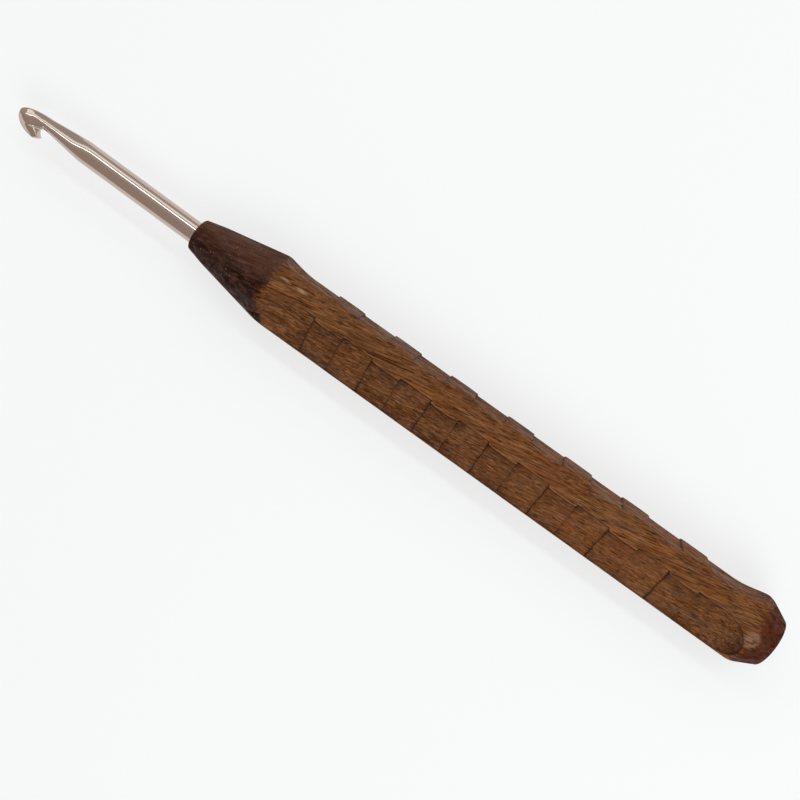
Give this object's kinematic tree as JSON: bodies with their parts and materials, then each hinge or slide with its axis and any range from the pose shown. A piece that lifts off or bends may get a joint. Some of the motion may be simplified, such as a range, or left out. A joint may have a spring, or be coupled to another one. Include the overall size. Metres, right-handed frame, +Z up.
{
  "type": "crochet hook",
  "caption": "Crochet hook with a polished metal shank and curled head, glued into a turned wooden handle with three stepped, carved grip bands.",
  "frame": {"origin": "on the table under the middle of the tool, which lies on its handle", "axes": "+X along the handle towards the butt, with the hook's tip at the -X end; -Y is the side that the mouth of the hook opens to; +Z up"},
  "size_m": [0.1556, 0.0126, 0.0127],
  "materials": {
    "walnut": "oiled satin, darker on the end grain of the nose cone and the butt chamfer",
    "aluminium": "polished",
    "epoxy": "clear amber, glossy"
  },
  "bodies": {
    "root": {"handle": "walnut", "hook": "aluminium", "glue_sleeve": "epoxy"}
  },
  "joints": []
}
